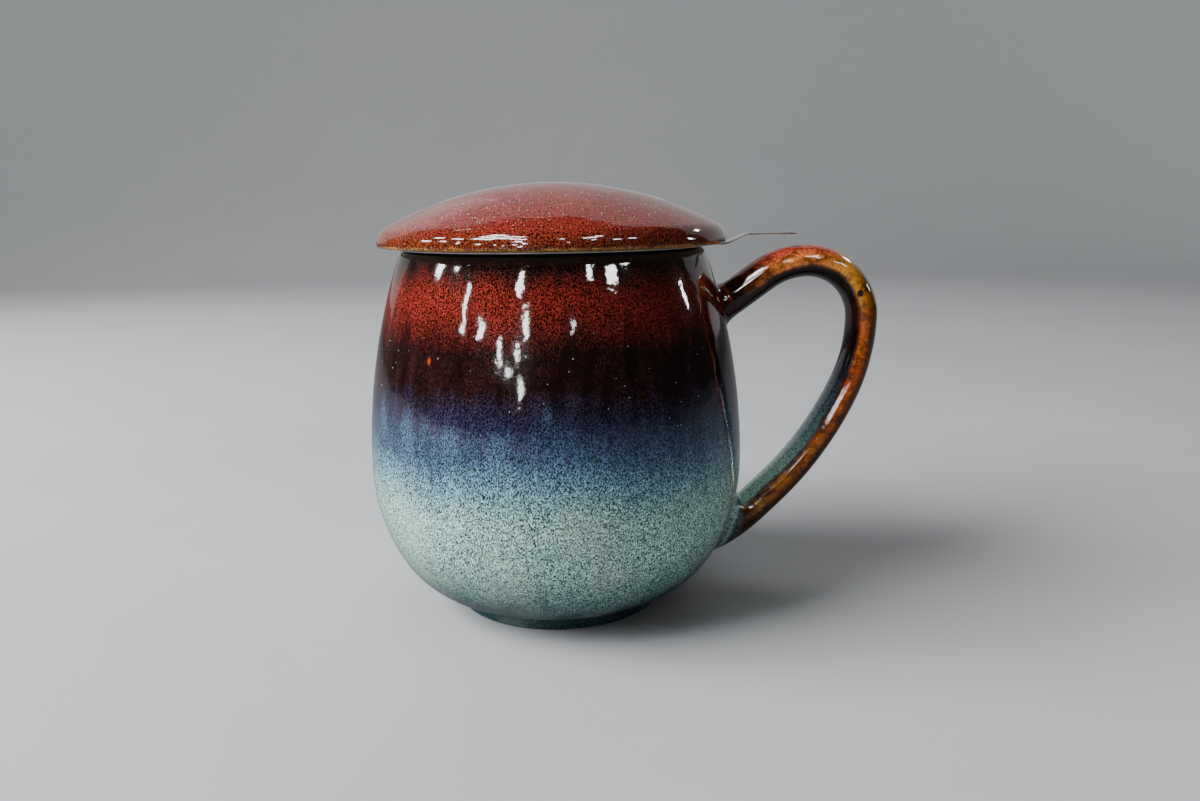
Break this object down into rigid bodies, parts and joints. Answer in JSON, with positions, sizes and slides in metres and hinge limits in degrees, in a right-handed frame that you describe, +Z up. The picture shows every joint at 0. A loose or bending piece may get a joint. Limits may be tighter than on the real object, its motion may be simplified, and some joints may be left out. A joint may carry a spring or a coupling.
{
  "type": "lidded tea mug with infuser",
  "caption": "Barrel-shaped glazed stoneware mug with an ear handle, a loose domed lid and a lift-out perforated steel infuser basket with a lift tab.",
  "frame": {"origin": "centre of the foot ring's resting face, on the mug's axis", "axes": "+Z up along the mug's axis; +X from the axis towards the handle; +Y away from the viewer who has the handle on the right"},
  "size_m": [0.1308, 0.095, 0.1069],
  "materials": {
    "body_glaze": "gloss",
    "handle_glaze": "gloss",
    "lid_glaze": "gloss",
    "rim_steel": "satin",
    "mesh_steel": "satin"
  },
  "bodies": {
    "mug": {"mug_body": "body_glaze", "mug_handle": "handle_glaze"},
    "infuser": {"infuser_rim": "rim_steel", "infuser_wall": "mesh_steel", "infuser_base": "mesh_steel"},
    "lid": {"lid": "lid_glaze"}
  },
  "joints": [
    {"name": "infuser_lift", "type": "slide", "parent": "mug", "child": "infuser", "axis": [0, 0, 1], "range_m": [0, 0.085]},
    {"name": "lid_lift", "type": "slide", "parent": "infuser", "child": "lid", "axis": [0, 0, 1], "range_m": [0, 0.05]}
  ]
}
